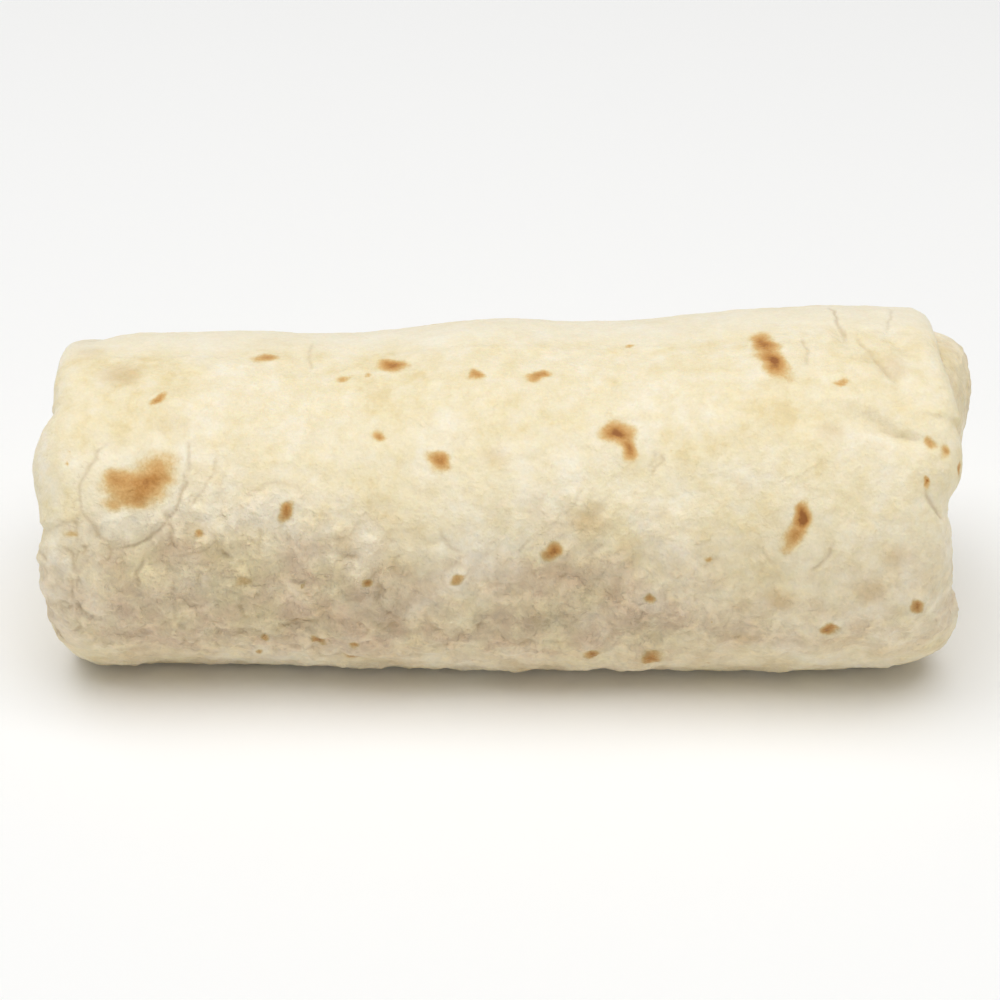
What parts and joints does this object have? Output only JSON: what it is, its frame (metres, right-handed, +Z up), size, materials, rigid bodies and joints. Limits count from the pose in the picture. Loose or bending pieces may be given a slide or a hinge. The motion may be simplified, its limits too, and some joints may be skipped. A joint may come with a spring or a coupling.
{
  "type": "burrito",
  "caption": "Closed burrito: a griddled flour tortilla rolled round its filling, with both ends folded in.",
  "frame": {"origin": "on the surface that the burrito rests on, under the middle of the roll", "axes": "+X along the roll towards its plumper end, -Y towards the smooth front, +Z up"},
  "size_m": [0.1738, 0.074, 0.0621],
  "materials": {
    "flour_tortilla": "matt cooked flour dough, cream to grey-beige, with golden-brown toasted spots"
  },
  "bodies": {
    "root": {"tortilla": "flour_tortilla"}
  },
  "joints": []
}
